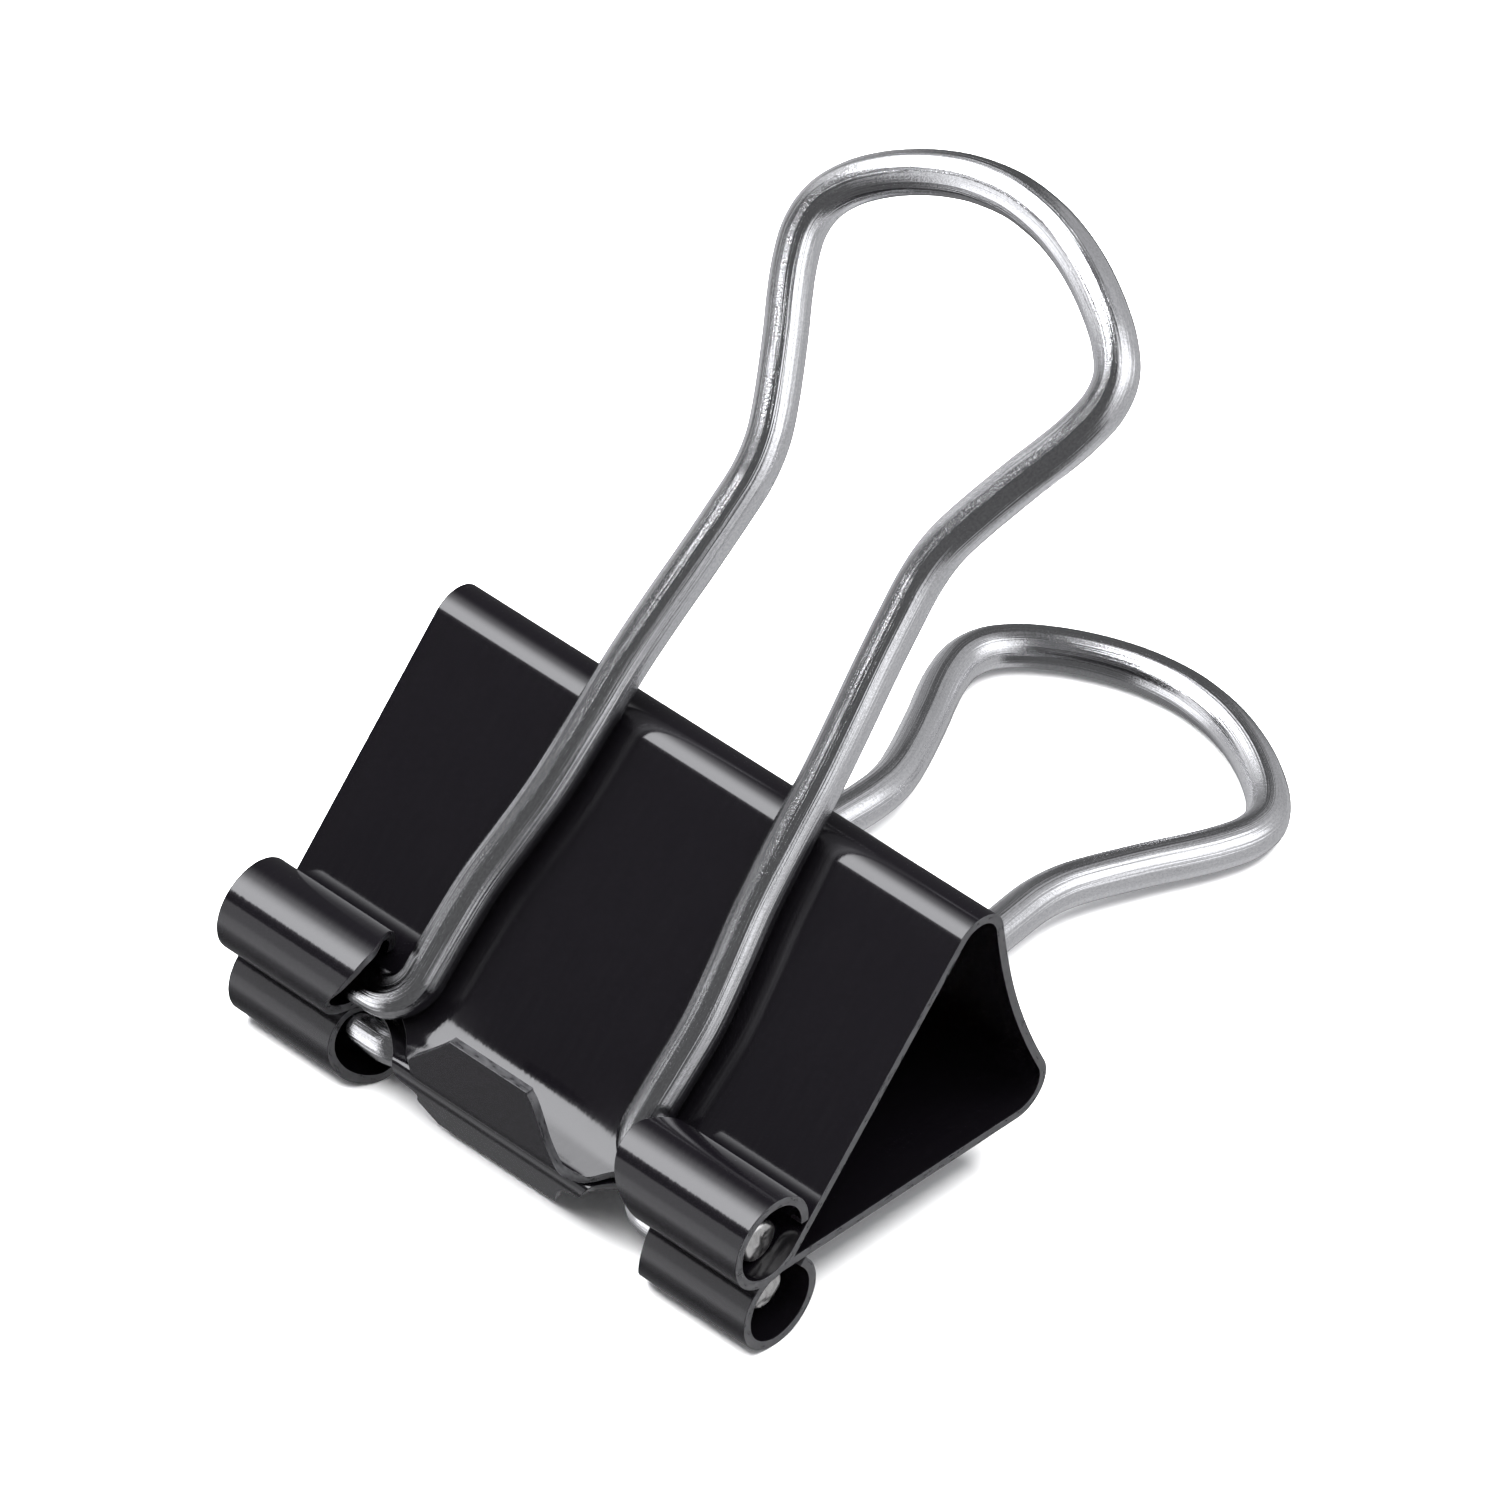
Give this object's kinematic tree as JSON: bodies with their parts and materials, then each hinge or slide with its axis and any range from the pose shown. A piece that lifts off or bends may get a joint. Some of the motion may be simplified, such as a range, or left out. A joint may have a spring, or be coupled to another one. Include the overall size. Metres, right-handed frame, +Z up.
{
  "type": "binder clip",
  "caption": "Small binder clip: triangular sprung sheet body with rolled barrels at its lips and folding wire loop handles that lever it open.",
  "frame": {"origin": "bottom centre of the bounding box, on the surface the clip lies on", "axes": "+X across the width of the clip, +Y from the lips towards the spine and the folded-back handles, +Z up from the surface that the clip lies on"},
  "size_m": [0.0192, 0.0294, 0.024],
  "materials": {
    "body_lacquer": "glossy black baked lacquer over spring steel, bare at the cut edges only as a thin grey line",
    "lower_body_lacquer": "the same glossy black baked lacquer",
    "wire_plate": "bright nickel plate with fine lengthwise drawing lines",
    "lower_wire_plate": "bright nickel plate with fine lengthwise drawing lines"
  },
  "bodies": {
    "lower_jaw": {"lower_jaw": "lower_body_lacquer"},
    "upper_jaw": {"upper_jaw": "body_lacquer"},
    "upper_handle": {"upper_handle": "wire_plate"},
    "lower_handle": {"lower_handle": "lower_wire_plate"}
  },
  "joints": [
    {"name": "jaw_opening", "type": "hinge", "parent": "lower_jaw", "child": "upper_jaw", "pos_m": [0, -0.00384, 0.00651], "axis": [-1, 0, 0], "range_deg": [0, 38], "stiffness_Nm_per_rad": 0.05},
    {"name": "upper_handle_swing", "type": "hinge", "parent": "upper_jaw", "child": "upper_handle", "pos_m": [0, -0.01319, 0.00382], "axis": [1, 0, 0], "range_deg": [0, 150]},
    {"name": "lower_handle_swing", "type": "hinge", "parent": "lower_jaw", "child": "lower_handle", "pos_m": [0, -0.01282, 0.00183], "axis": [-1, 0, 0], "range_deg": [0, 150]}
  ]
}
